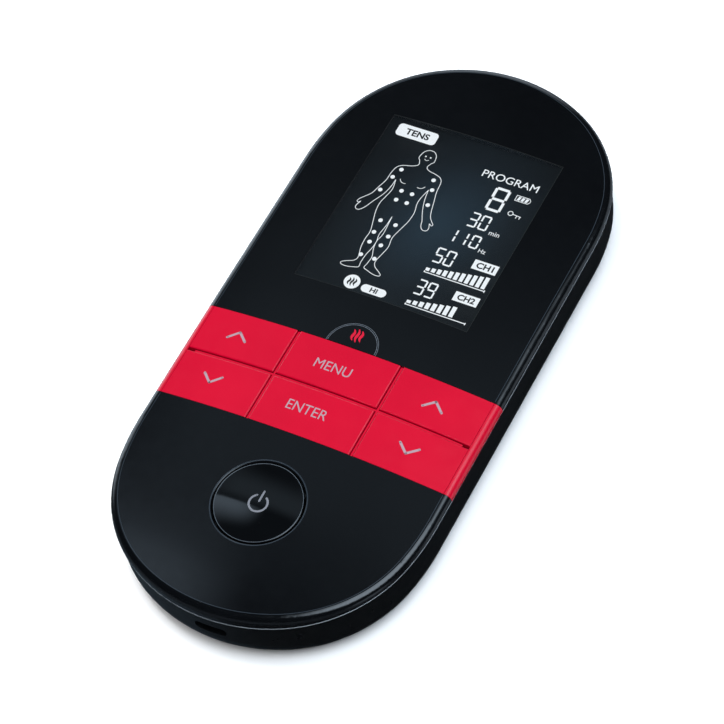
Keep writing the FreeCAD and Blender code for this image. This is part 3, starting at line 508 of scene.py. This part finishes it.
CHEVRON_HALF, CHEVRON_RISE, CHEVRON_WIDTH = 2.05, 1.85, 0.52
CHEVRONS = {
    "key_left_up": (-22.85, -12.35, 1),
    "key_left_down": (-22.9, -21.55, -1),
    "key_right_up": (21.2, -12.6, 1),
    "key_right_down": (21.0, -21.75, -1),
}
WORDS = {
    "key_menu": ("MENU", -4.95, 3.05, -12.80, -10.62),
    "key_enter": ("ENTER", -5.5, 3.3, -23.52, -21.28),
}
HEAT_CENTRE_Y, HEAT_RADIUS = -5.86, 5.4
HEAT_BASE_RISE = 0.3
HEAT_INNER_INSET, HEAT_INNER_WIDTH, HEAT_INNER_EXTRA = 0.2, 0.1, 4
HEAT_OUTER_GAP, HEAT_OUTER_WIDTH, HEAT_OUTER_EXTRA = 0.1, 0.09, 2
HEAT_WAVES = ((-0.85, -4.45, -1.95), (0.0, -4.65, -1.6), (0.85, -4.3, -1.8))
WAVE_STEPS = 14
POWER_SIGN = (0.25, -45.0)
POWER_CAP_RADIUS, POWER_HOLE_RADIUS = 8.72, 9.5
PANE_EDGE_WIDTH = 0.12
OUTLINE_STEPS = 480
CREASE_INSET, CREASE_WIDTH = 1.6, 0.13
RIM_STRIP = 0.25
BEAD_INSET, BEAD_RADIUS, BEAD_SIDES = 0.02, 0.1, 8


def print_keys():
    for node, (x, y, way) in CHEVRONS.items():
        sign = Drawing()
        sign.line([(x - CHEVRON_HALF, y), (x, y + way * CHEVRON_RISE)], CHEVRON_WIDTH)
        sign.line([(x, y + way * CHEVRON_RISE), (x + CHEVRON_HALF, y)], CHEVRON_WIDTH)
        lay(drawing_mesh(node + "_sign", sign), node, node, INK_GREY)
    for node, (words, left, right, low, high) in WORDS.items():
        lay(text_mesh(node + "_sign", words, left, right, low, high), node, node, INK_GREY)


def wave(drawing, x, low, high, sway, lean, width):
    """One rising wave of the warmth sign, thickest in the middle."""
    points = []
    for step in range(WAVE_STEPS + 1):
        t = step / WAVE_STEPS
        across = x + lean * (t - 0.5) - sway * math.sin(2 * math.pi * t)
        points.append((across, low + (high - low) * t))
    drawing.line(points, width, taper=lambda t: 0.3 + 0.7 * math.sin(math.pi * min(max(t, 0), 1)))


def print_heat_key():
    sign = Drawing()
    for x, low, high in HEAT_WAVES:
        wave(sign, x, low, high, 0.2, -0.55, 0.62)
    lay(drawing_mesh("heat_sign", sign), "heat_key", "heat_key", INK_RED)
    rim = Drawing()
    start = math.degrees(math.asin(HEAT_BASE_RISE / HEAT_RADIUS))
    rim.arc(0, HEAT_CENTRE_Y, HEAT_RADIUS - HEAT_INNER_INSET, HEAT_INNER_WIDTH,
            start - HEAT_INNER_EXTRA, 180 + 2 * HEAT_INNER_EXTRA - 2 * start)
    lay(drawing_mesh("heat_inner_line", rim), "heat_key", "heat_key", INK_RING)
    outer = Drawing()
    outer.arc(0, HEAT_CENTRE_Y, HEAT_RADIUS + HEAT_OUTER_GAP, HEAT_OUTER_WIDTH,
              -HEAT_OUTER_EXTRA, 180 + 2 * HEAT_OUTER_EXTRA)
    lay(drawing_mesh("heat_outer_line", outer), "front_cover", "case", INK_RING)


def outline_points(inset):
    """The case's outline seen from above, in millimetres, moved inwards by an inset."""
    corners = frame["nodes"]["front_cover"].data.vertices
    flat = [Vector((corner.co.x / MM, corner.co.y / MM)) for corner in corners]
    hull = [flat[index] for index in convex_hull_2d(flat)]
    even = evenly_spaced(hull, OUTLINE_STEPS)
    points = []
    for index, here in enumerate(even):
        along = (even[(index + 1) % OUTLINE_STEPS] - even[index - 1]).normalized()
        points.append((here.x - along.y * inset, here.y + along.x * inset))
    return points


def evenly_spaced(corners, count):
    """Points at even steps along a closed row of corners."""
    lengths = [(corners[(index + 1) % len(corners)] - corner).length
               for index, corner in enumerate(corners)]
    step = sum(lengths) / count
    points, index, covered = [], 0, 0.0
    for number in range(count):
        target = number * step
        while covered + lengths[index] < target:
            covered += lengths[index]
            index += 1
        share = (target - covered) / lengths[index]
        points.append(corners[index].lerp(corners[(index + 1) % len(corners)], share))
    return points


def kept_runs(points, kept):
    """The unbroken rows of a closed row's points that pass a test."""
    start = next(index for index, point in enumerate(points) if not kept(point))
    runs, run = [], []
    for point in points[start:] + points[:start + 1]:
        if kept(point):
            run.append(point)
        elif run:
            runs.append(run)
            run = []
    return runs


def draw_edge_lines():
    """Painted highlight lines round the face, round the power button and on its cap."""
    low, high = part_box("keypad_frame")
    # painted highlight along the crease at the face's edge
    crease_highlight = Drawing()
    for run in kept_runs(outline_points(CREASE_INSET),
                         lambda point: not low.y < point[1] * MM < high.y):
        crease_highlight.line(run, CREASE_WIDTH)
    lay(drawing_mesh("face_edge_painted_highlight", crease_highlight), "front_cover", "case", EDGE_HIGHLIGHT_GREY)
    low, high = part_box("power_button")
    centre_y = (low.y + high.y) / 2 / MM
    for name, radius, width, node, body, slot, ink_or_painted_light in (
            ("power_hole_painted_highlight", POWER_HOLE_RADIUS, 0.24, "front_cover", "case", "face_black", EDGE_HIGHLIGHT_GREY),
            ("power_cap_painted_highlight", POWER_CAP_RADIUS, 0.10, "power_button", "power_button", "button_black",
             CAP_EDGE_HIGHLIGHT)):
        ring = Drawing()
        ring.arc(0, centre_y, radius, width, steps=96)
        lay(drawing_mesh(name, ring), node, body, ink_or_painted_light)


def draw_pane_edge():
    """The pane's fine edge: it catches the light on three sides and is in shade on the left."""
    low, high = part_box("display_window")
    left, right, bottom, top = (value / MM for value in (low.x, high.x, low.y, high.y))
    inset = PANE_EDGE_WIDTH / 2
    bright, dark = Drawing(), Drawing()
    bright.line([(left + inset, top - inset), (right - inset, top - inset),
                 (right - inset, bottom + inset), (left + inset, bottom + inset)], PANE_EDGE_WIDTH)
    dark.line([(left + 2 * inset, top - 3 * inset), (left + 2 * inset, bottom + 3 * inset)],
              2 * PANE_EDGE_WIDTH)
    for name, drawing, ink_or_painted_light in (("pane_edge", bright, PANE_EDGE_HIGHLIGHT), ("pane_shade", dark, PANE_EDGE_SHADE)):
        lay(drawing_mesh(name, drawing), "display_window", "case", ink_or_painted_light)


def add_parting_bead():
    """A fine bead in the joint between the front and the rear cover; its light grey is a painted
    highlight along the joint.
    """
    corners = frame["nodes"]["front_cover"].data.vertices
    level = min(corner.co.z for corner in corners if corner.co.x > CASE_HIGH.x - RIM_STRIP * MM)
    ring = outline_points(BEAD_INSET)
    inner = outline_points(BEAD_INSET + 2 * BEAD_RADIUS)
    points, faces = [], []
    for (outer_x, outer_y), (inner_x, inner_y) in zip(ring, inner):
        for side in range(BEAD_SIDES):
            turn = 2 * math.pi * side / BEAD_SIDES
            share = (1 - math.cos(turn)) / 2
            x, y = outer_x + (inner_x - outer_x) * share, outer_y + (inner_y - outer_y) * share
            points.append((x * MM, y * MM, level - BEAD_RADIUS * MM * (1 - math.sin(turn))))
    for row in range(OUTLINE_STEPS):
        for side in range(BEAD_SIDES):
            following, beside = (row + 1) % OUTLINE_STEPS, (side + 1) % BEAD_SIDES
            faces.append((row * BEAD_SIDES + side, following * BEAD_SIDES + side,
                          following * BEAD_SIDES + beside, row * BEAD_SIDES + beside))
    mesh = bpy.data.meshes.new("parting_bead")
    mesh.from_pydata(points, [], faces)
    mesh.materials.append(BEAD_HIGHLIGHT_GREY)
    for face in mesh.polygons:
        face.use_smooth = True
    bead = bpy.data.objects.new("parting_bead", mesh)
    bpy.context.scene.collection.objects.link(bead)
    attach(bead, "case")


def print_power_sign():
    x, y = POWER_SIGN
    sign = Drawing()
    sign.arc(x, y, 1.85, 0.42, 124, 292)
    sign.line([(x - 0.02, y + 0.45), (x - 0.05, y + 2.75)], 0.40)
    lay(drawing_mesh("power_sign", sign), "power_button", "power_button", INK_POWER)


# ------------------------------------------------------------------ what the display shows

SEGMENTS = {
    "0": "abcdef", "1": "bc", "3": "abcdg", "5": "acdfg", "8": "abcdefg", "9": "abcdfg",
}


def digit(drawing, figure, left, right, low, high, width):
    """A seven-segment figure with the usual small gaps between its bars."""
    middle = (low + high) / 2
    gap = width * 0.62
    half = width / 2
    bars = {
        "a": ((left + gap, high - half), (right - gap, high - half)),
        "d": ((left + gap, low + half), (right - gap, low + half)),
        "g": ((left + gap, middle), (right - gap, middle)),
        "f": ((left + half, middle + gap), (left + half, high - gap)),
        "e": ((left + half, low + gap), (left + half, middle - gap)),
        "b": ((right - half, middle + gap), (right - half, high - gap)),
        "c": ((right - half, low + gap), (right - half, middle - gap)),
    }
    for name in SEGMENTS[figure]:
        (x0, y0), (x1, y1) = bars[name]
        if abs(x1 - x0) > abs(y1 - y0):
            drawing.box(x0, x1, y0 - half, y0 + half)
        else:
            drawing.box(x0 - half, x0 + half, y0, y1)


def level_bars(drawing, count, left, right, base, first, last, line_right):
    """A rising row of level bars over its base line."""
    pitch = (right - left) / count
    for index in range(count):
        x = left + index * pitch
        rise = first + (last - first) * index / (count - 1)
        drawing.box(x + 0.08, x + pitch * 0.74, base + 0.42, base + 0.42 + rise)
    drawing.box(left, line_right, base - 0.1, base + 0.1)
    drawing.box(left, left + 0.2, base + 0.1, base + 0.3)
    drawing.box(line_right - 0.2, line_right, base - 0.3, base + 0.28)


def battery_sign(drawing):
    left, right, low, high = 13.55, 16.75, 40.1, 41.45
    width = 0.14
    drawing.line([(left, low), (right - 0.35, low), (right, low + 0.45), (right, high - 0.45),
                  (right - 0.35, high), (left, high)], width, closed=True)
    for index in range(3):
        x = left + 0.35 + index * 0.85
        drawing.polygon([(x, low + 0.2), (x + 0.55, low + 0.2),
                         (x + 0.75, high - 0.2), (x + 0.2, high - 0.2)])


def lock_sign(drawing):
    drawing.arc(14.25, 36.75, 0.52, 0.16)
    drawing.line([(14.8, 36.7), (16.6, 36.55)], 0.16)
    for x in (15.7, 16.45):
        drawing.line([(x, 36.6), (x, 36.0)], 0.16)


BODY_RIGHT = [
    (-7.05, 41.5), (-6.85, 40.95), (-6.0, 40.5), (-4.5, 40.2), (-3.2, 39.7), (-2.55, 38.6),
    (-2.3, 36.2), (-1.7, 33.8), (-1.05, 31.2), (-0.55, 29.9), (0.15, 29.0), (0.75, 28.35),
    (0.55, 28.0), (0.0, 28.3), (0.35, 27.3), (0.25, 26.6), (-0.25, 26.35), (-0.9, 26.5),
    (-1.45, 27.3), (-1.8, 28.5), (-2.5, 30.0), (-3.2, 31.8), (-3.75, 33.8), (-4.1, 36.0)]
BODY_LEFT = [
    (-8.95, 41.5), (-9.2, 40.95), (-10.3, 40.4), (-12.0, 39.9), (-13.0, 39.0), (-13.4, 37.3),
    (-13.5, 35.2), (-14.1, 33.2), (-14.7, 31.2), (-15.6, 30.0), (-16.4, 29.0), (-16.65, 28.3),
    (-16.3, 28.0), (-15.9, 28.4), (-16.3, 27.3), (-16.2, 26.6), (-15.7, 26.3), (-15.0, 26.6),
    (-14.3, 27.6), (-13.6, 29.2), (-12.8, 30.8), (-12.2, 32.2), (-11.8, 34.0), (-11.65, 36.0)]
LEG_LEFT = [
    (-11.65, 36.0), (-11.2, 33.6), (-11.6, 31.4), (-12.0, 29.4), (-11.8, 27.2), (-11.1, 24.6),
    (-10.5, 22.2), (-10.6, 20.0), (-10.4, 17.8), (-9.8, 15.6), (-10.2, 14.5), (-11.6, 13.8),
    (-12.5, 13.2), (-12.3, 12.7), (-11.0, 12.6), (-9.4, 13.0), (-8.6, 13.4), (-8.7, 14.6),
    (-8.6, 16.6), (-8.2, 18.6), (-8.1, 20.4), (-8.4, 22.2), (-8.1, 24.6), (-8.0, 27.1)]
LEG_RIGHT = [
    (-4.1, 36.0), (-4.6, 33.8), (-4.7, 32.0), (-4.2, 29.8), (-4.3, 27.4), (-4.9, 25.0),
    (-5.5, 22.4), (-5.2, 20.0), (-5.6, 17.8), (-6.0, 15.8), (-5.5, 14.6), (-4.2, 13.7),
    (-3.5, 13.1), (-3.8, 12.7), (-5.0, 12.7), (-6.6, 13.2), (-7.5, 13.6), (-7.3, 14.8),
    (-7.2, 16.6), (-7.8, 18.4), (-8.1, 20.4), (-7.7, 22.4), (-7.8, 24.6), (-8.0, 27.1)]
HEAD = [
    (-8.95, 41.5), (-9.35, 42.4), (-9.75, 42.9), (-9.7, 43.7), (-9.45, 44.6), (-8.8, 45.3),
    (-8.0, 45.5), (-7.2, 45.3), (-6.55, 44.6), (-6.3, 43.7), (-6.25, 42.9), (-6.65, 42.4),
    (-7.05, 41.5)]
PAD_SPOTS = [
    (-11.75, 38.8), (-12.6, 36.45), (-4.25, 38.7), (-3.4, 36.3), (-13.5, 32.55), (-2.5, 32.5),
    (-9.22, 33.85), (-6.78, 33.85), (-9.22, 31.4), (-6.78, 31.4), (-9.8, 25.5), (-6.35, 25.5),
    (-9.7, 22.35), (-6.42, 22.35), (-9.4, 19.8), (-6.8, 19.8), (-9.6, 16.3), (-6.5, 16.3)]


def body_figure(drawing):
    """Plain outline of a standing body with the pad places; its face is two dots and a short curve."""
    width = 0.135
    for outline in (BODY_RIGHT, BODY_LEFT, LEG_LEFT, LEG_RIGHT, HEAD):
        drawing.line(smooth_line(outline), width)
    for x in (-8.55, -7.45):
        drawing.disc(x, 43.75, 0.19, 12)
    drawing.arc(-8.0, 43.35, 0.55, 0.11, 215, 110, 10)
    for x, start in ((-9.75, 200), (-6.2, 250)):
        drawing.arc(x, 36.9, 1.15, 0.12, start, 90, 10)
    for x, y in PAD_SPOTS:
        drawing.disc(x, y, 0.47)


# text, left, right, low, high, and whether it is dark on a lit label
DISPLAY_WORDS = (
    ("PROGRAM", 4.4, 16.95, 43.35, 45.15, False),
    ("min", 12.35, 14.6, 30.25, 31.3, False),
    ("Hz", 12.3, 13.85, 25.45, 26.45, False),
    ("TENS", -15.5, -10.1, 47.55, 49.15, True),
    ("CH1", 13.55, 17.35, 21.85, 23.3, True),
    ("CH2", 13.45, 17.25, 13.4, 14.8, True),
    ("HI", -3.75, -2.15, 8.55, 9.7, True),
)
LABEL_LIFT, LABEL_WEIGHT = 0.02, 0.03


def show_display():
    lit = Drawing()
    body_figure(lit)
    lit.pill(-17.5, -8.35, 46.75, 49.95, 0.85)
    digit(lit, "8", 8.65, 12.1, 35.85, 42.0, 0.6)
    for figure, left in (("3", 7.0), ("0", 9.45)):
        digit(lit, figure, left, left + 2.0, 30.7, 34.45, 0.36)
    for figure, left in (("1", 4.55), ("1", 7.0), ("0", 9.75)):
        digit(lit, figure, left, left + 1.95, 25.9, 29.2, 0.36)
    for figures, low in ((("5", "0"), 20.0), (("3", "9"), 11.5)):
        for figure, left in zip(figures, (4.5, 6.85)):
            digit(lit, figure, left, left + 1.95, low, low + 3.85, 0.36)
    battery_sign(lit)
    lock_sign(lit)
    lit.box(12.75, 18.1, 21.4, 23.75)
    lit.box(12.65, 18.0, 12.95, 15.25)
    level_bars(lit, 11, 4.3, 17.9, 17.15, 0.75, 2.95, 17.95)
    level_bars(lit, 8, 4.3, 15.0, 8.6, 0.7, 2.6, 17.85)
    lit.disc(-8.1, 9.55, 1.72, 40)
    lit.pill(-5.75, -0.2, 8.15, 10.05)
    on_glass("display_segments", lit, LCD_WHITE)
    dark = Drawing()
    for x, low, high in ((-8.75, 8.7, 10.3), (-8.1, 8.55, 10.55), (-7.45, 8.8, 10.4)):
        wave(dark, x, low, high, 0.16, -0.15, 0.46)
    on_glass("display_heat_waves", dark, LCD_DARK, LABEL_LIFT)
    for text, left, right, low, high, on_label in DISPLAY_WORDS:
        name = "display_word_" + text.lower()
        mesh = text_mesh(name, text, left, right, low, high, LABEL_WEIGHT if on_label else 0.0)
        ink_or_painted_light, lift = (LCD_DARK, LABEL_LIFT) if on_label else (LCD_WHITE, 0.0)
        lay(mesh, "lcd_glass", "case", ink_or_painted_light, lift * MM)


def on_glass(name, drawing, ink_or_painted_light, lift_mm=0.0):
    lay(drawing_mesh(name, drawing), "lcd_glass", "case", ink_or_painted_light, lift_mm * MM)


# ------------------------------------------------------------------ studio

CAMERA_AZIMUTH, CAMERA_ELEVATION, CAMERA_ROLL = 38.46, 54.21, -13.55
CAMERA_DISTANCE, CAMERA_LENS = 0.577, 145.1
CAMERA_TARGET = Vector((1.9, -6.0, 12.8)) * MM
CAMERA_NEAR, CAMERA_FAR = 0.01, 20
FLOOR_REACH = 3.0


def direction(azimuth, elevation):
    """Unit vector from the object: azimuth 0 is the low end, 90 the right side."""
    turn, rise = math.radians(azimuth), math.radians(elevation)
    return Vector((math.sin(turn) * math.cos(rise), -math.cos(turn) * math.cos(rise), math.sin(rise)))


def add_camera():
    back = direction(CAMERA_AZIMUTH, CAMERA_ELEVATION)
    turned = math.radians(CAMERA_AZIMUTH)
    level = Vector((math.cos(turned), math.sin(turned), 0))
    upright = back.cross(level)
    roll = math.radians(CAMERA_ROLL)
    right = level * math.cos(roll) + upright * math.sin(roll)
    up = upright * math.cos(roll) - level * math.sin(roll)
    turn = Matrix((right, up, back)).transposed()
    data = bpy.data.cameras.new("camera")
    data.lens = CAMERA_LENS
    data.clip_start, data.clip_end = CAMERA_NEAR, CAMERA_FAR
    camera = bpy.data.objects.new("camera", data)
    camera.matrix_world = Matrix.Translation(CAMERA_TARGET + back * CAMERA_DISTANCE) @ turn.to_4x4()
    bpy.context.scene.collection.objects.link(camera)
    bpy.context.scene.camera = camera


def add_light(name, azimuth, elevation, distance, width, power):
    """A broad lamp that lights the object; what shows in its gloss is painted in the world."""
    data = bpy.data.lights.new(name, "AREA")
    data.shape = "DISK"
    data.size = width
    data.energy = power
    lamp = bpy.data.objects.new(name, data)
    towards = direction(azimuth, elevation)
    lamp.location = towards * distance
    lamp.rotation_euler = towards.to_track_quat("Z", "Y").to_euler()
    lamp.visible_glossy = False
    bpy.context.scene.collection.objects.link(lamp)


def add_floor():
    mesh = bpy.data.meshes.new("floor")
    level = CASE_LEVEL - FLOOR_GAP * MM
    corners = [(x * FLOOR_REACH, y * FLOOR_REACH, level) for x, y in ((-1, -1), (1, -1), (1, 1), (-1, 1))]
    mesh.from_pydata(corners, [], [(0, 1, 2, 3)])
    mesh.materials.append(floor_material())
    floor = bpy.data.objects.new("floor", mesh)
    floor.visible_glossy = False
    bpy.context.scene.collection.objects.link(floor)


class Sky:
    """The studio round the object: a dark room with soft panels, painted by direction."""

    def __init__(self):
        self.world = bpy.data.worlds.new("studio")
        self.world.use_nodes = True
        self.nodes = self.world.node_tree.nodes
        self.links = self.world.node_tree.links
        self.back = self.nodes["Background"]
        self.towards = self.nodes.new("ShaderNodeTexCoord").outputs["Generated"]
        self.total = None

    def along(self, axis, start, finish):
        """0 to 1 where the direction's share along an axis goes from start to finish."""
        dot = self.nodes.new("ShaderNodeVectorMath")
        dot.operation = "DOT_PRODUCT"
        dot.inputs[1].default_value = Vector(axis).normalized()
        self.links.new(self.towards, dot.inputs[0])
        fade = self.nodes.new("ShaderNodeMapRange")
        fade.interpolation_type = "SMOOTHSTEP"
        fade.inputs["From Min"].default_value = start
        fade.inputs["From Max"].default_value = finish
        self.links.new(dot.outputs["Value"], fade.inputs["Value"])
        return fade.outputs["Result"]

    def add(self, colour, *masks):
        """Add a colour where all the masks meet."""
        tint = self.nodes.new("ShaderNodeRGB")
        tint.outputs[0].default_value = (*colour, 1)
        part = tint.outputs[0]
        for mask in masks:
            scaled = self.nodes.new("ShaderNodeVectorMath")
            scaled.operation = "SCALE"
            self.links.new(part, scaled.inputs[0])
            self.links.new(mask, scaled.inputs["Scale"])
            part = scaled.outputs[0]
        if self.total is not None:
            both = self.nodes.new("ShaderNodeVectorMath")
            both.operation = "ADD"
            self.links.new(self.total, both.inputs[0])
            self.links.new(part, both.inputs[1])
            part = both.outputs[0]
        self.total = part

    def panel(self, axis, edge, middle, colour, *masks):
        """A round soft panel: dark beyond edge degrees from its axis, full within middle degrees."""
        disc = self.along(axis, math.cos(math.radians(edge)), math.cos(math.radians(middle)))
        self.add(colour, disc, *masks)

    def finish(self):
        self.links.new(self.total, self.back.inputs["Color"])
        bpy.context.scene.world = self.world


def add_world():
    sky = Sky()
    right, far, up = (1, 0, 0), (0, 1, 0), (0, 0, 1)
    # dim room
    sky.add((0.016, 0.019, 0.023))
    # band across the sky towards the display end
    sky.add((0.14, 0.18, 0.215), sky.along(far, 0.33, 0.40), sky.along(far, 0.56, 0.43),
            sky.along(right, -0.72, -0.5), sky.along(up, 0.3, 0.6))
    # brightest panel, high and to the right
    sky.panel((0.42, 0.10, 0.90), 30, 8, (3.2, 3.8, 4.4))
    # small panel high on the left, cut off to a strip
    sky.panel((-0.56, 0.29, 0.78), 16, 3, (0.65, 0.82, 1.0),
              sky.along(far, 0.345, 0.333), sky.along(far, 0.18, 0.32))
    # two low panels, at the left and beyond the display end
    sky.panel((-0.88, 0.45, 0.12), 27, 8, (1.5, 1.75, 2.0))
    sky.panel((-0.40, 0.85, 0.35), 21, 6, (1.2, 1.4, 1.6))
    # faint light from below on the left, and a panel level with the object on the right
    sky.panel((-0.65, -0.15, -0.74), 40, 5, (0.045, 0.065, 0.085))
    sky.panel((0.95, -0.3, -0.05), 16, 4, (0.5, 0.6, 0.7))
    # band below the horizon: brighter beyond the display end, dimmer at the low end
    low_band = (sky.along(up, -0.68, -0.48), sky.along(up, 0.15, -0.1))
    sky.add((0.42, 0.50, 0.58), sky.along(far, 0.1, 0.45), *low_band)
    sky.add((0.09, 0.11, 0.135), sky.along(far, 0.1, -0.1), *low_band)
    sky.finish()


def add_studio():
    add_camera()
    add_floor()
    add_world()
    add_light("key", 258, 76, 1.4, 0.5, 11)
    add_light("fill", 40, 80, 1.4, 1.6, 24)
    bpy.context.scene.view_settings.view_transform = "Standard"


dress_cad()
print_keys()
print_heat_key()
print_power_sign()
draw_edge_lines()
draw_pane_edge()
add_parting_bead()
show_display()
add_studio()
